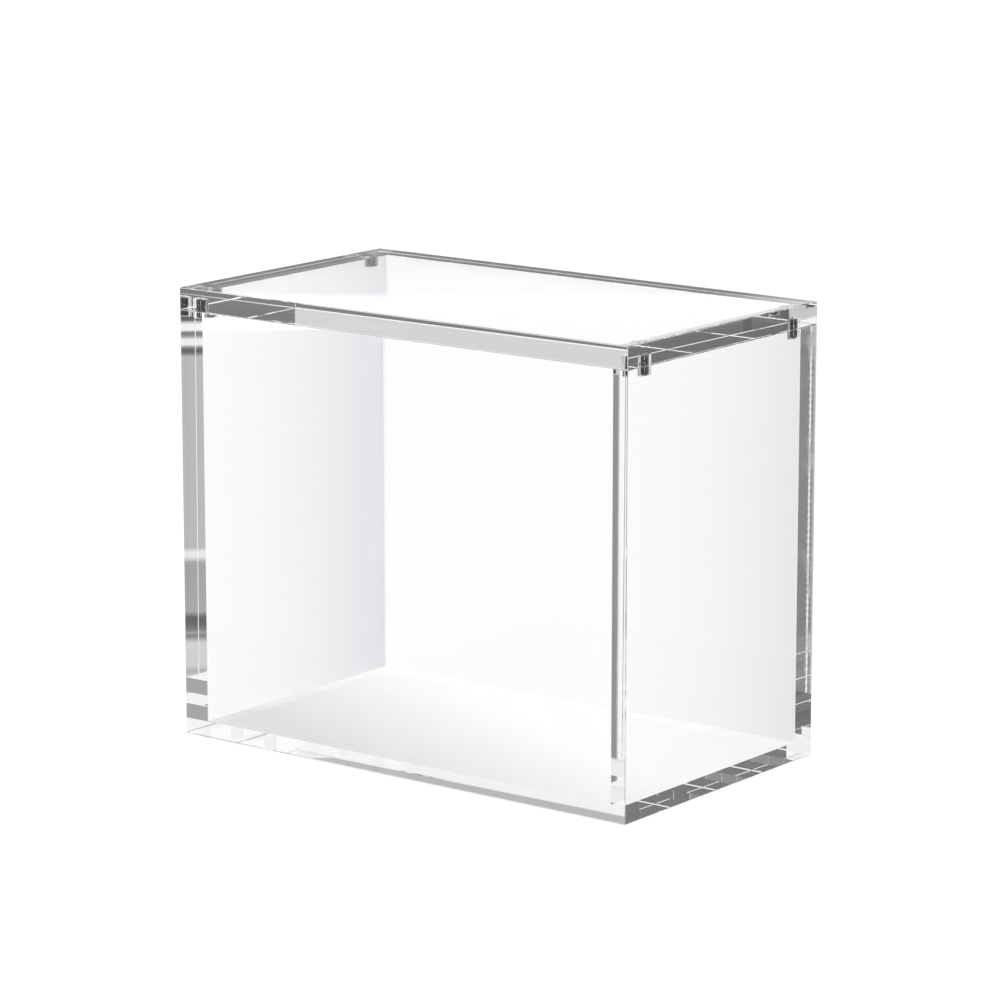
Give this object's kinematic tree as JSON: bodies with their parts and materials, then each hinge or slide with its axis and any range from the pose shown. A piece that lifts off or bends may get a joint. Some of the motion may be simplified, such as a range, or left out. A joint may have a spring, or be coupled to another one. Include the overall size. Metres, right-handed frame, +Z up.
{
  "type": "acrylic display case",
  "caption": "Clear acrylic display case for a shelf or plinth: a bonded five-sided box under a thick loose lid that small hidden disc magnets hold and centre.",
  "frame": {"origin": "centre of the footprint, on the surface the case stands on", "axes": "+X along the long side, +Y from the front sheet to the back sheet, +Z up through the lid"},
  "size_m": [0.195, 0.112, 0.1625],
  "materials": {
    "clear_acrylic": "polished",
    "nickel_plate": "polished"
  },
  "bodies": {
    "case": {"front_panel": "clear_acrylic", "back_panel": "clear_acrylic", "left_panel": "clear_acrylic", "right_panel": "clear_acrylic", "base_panel": "clear_acrylic", "wall_magnet_front_left": "nickel_plate", "wall_magnet_front_right": "nickel_plate", "wall_magnet_back_left": "nickel_plate", "wall_magnet_back_right": "nickel_plate"},
    "lid": {"lid_panel": "clear_acrylic", "lid_magnet_front_left": "nickel_plate", "lid_magnet_front_right": "nickel_plate", "lid_magnet_back_left": "nickel_plate", "lid_magnet_back_right": "nickel_plate"}
  },
  "joints": [
    {"name": "lid_lift", "type": "slide", "parent": "case", "child": "lid", "axis": [0, 0, 1], "range_m": [0, 0.08]}
  ]
}
